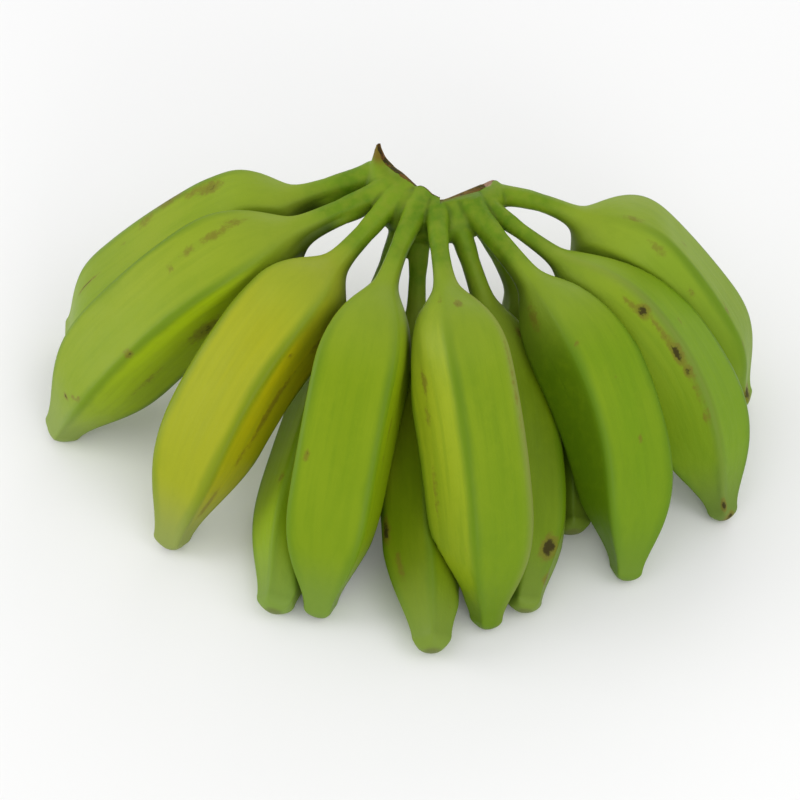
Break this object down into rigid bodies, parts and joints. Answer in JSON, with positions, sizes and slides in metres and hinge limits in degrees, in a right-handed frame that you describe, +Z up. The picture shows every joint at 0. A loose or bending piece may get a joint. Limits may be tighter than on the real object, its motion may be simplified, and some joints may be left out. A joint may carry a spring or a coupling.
{
  "type": "hand of green cooking plantains",
  "caption": "Cut hand of plump ridged green cooking plantains fanned out from one crown, lying arched on its fingertips.",
  "frame": {"origin": "on the ground under the middle of the hand's bounding box", "axes": "+X across the fan of fingers, -Y the way the middle fingers point, +Z up from the ground"},
  "size_m": [0.3129, 0.1876, 0.1143],
  "materials": {
    "green_skin": "waxy satin green peel",
    "turning_skin": "waxy satin peel turning yellow-green",
    "crown_skin": "matte green peel with a dry brown cut face"
  },
  "bodies": {
    "root": {"crown": "crown_skin", "finger_front_1": "green_skin", "finger_front_2": "green_skin", "finger_front_3": "turning_skin", "finger_front_4": "green_skin", "finger_front_5": "green_skin", "finger_front_6": "green_skin", "finger_front_7": "green_skin", "finger_front_8": "green_skin", "finger_front_9": "green_skin", "finger_back_1": "green_skin", "finger_back_2": "green_skin", "finger_back_3": "green_skin"}
  },
  "joints": []
}
